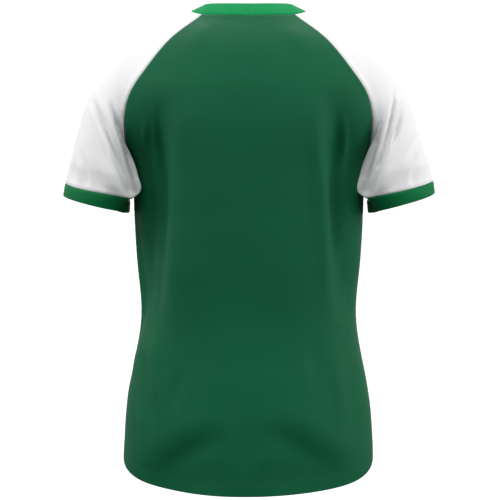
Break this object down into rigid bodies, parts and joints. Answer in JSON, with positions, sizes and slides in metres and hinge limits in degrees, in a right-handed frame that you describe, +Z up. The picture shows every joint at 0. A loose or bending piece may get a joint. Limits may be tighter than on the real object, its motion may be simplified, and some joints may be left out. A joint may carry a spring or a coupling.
{
  "type": "football jersey",
  "caption": "Short-sleeved raglan football jersey with rib collar and cuffs and a dropped hem, filled out as when worn.",
  "frame": {"origin": "on the neck's axis, halfway between front and back, level with the collar seam at the nape", "axes": "+Z up, the chest towards -Y, the back towards +Y, the wearer's left towards +X"},
  "size_m": [0.549, 0.2356, 0.6952],
  "materials": {
    "body_green": "matt bottle green polyester jersey knit",
    "sleeve_white": "matt white polyester jersey knit",
    "cuff_green": "green doubled jersey band",
    "collar_green": "bright green fine rib knit"
  },
  "bodies": {
    "root": {"back_panel": "body_green", "front_panel": "body_green", "sleeve_left": "sleeve_white", "sleeve_right": "sleeve_white", "cuff_left": "cuff_green", "cuff_right": "cuff_green", "collar": "collar_green"}
  },
  "joints": []
}
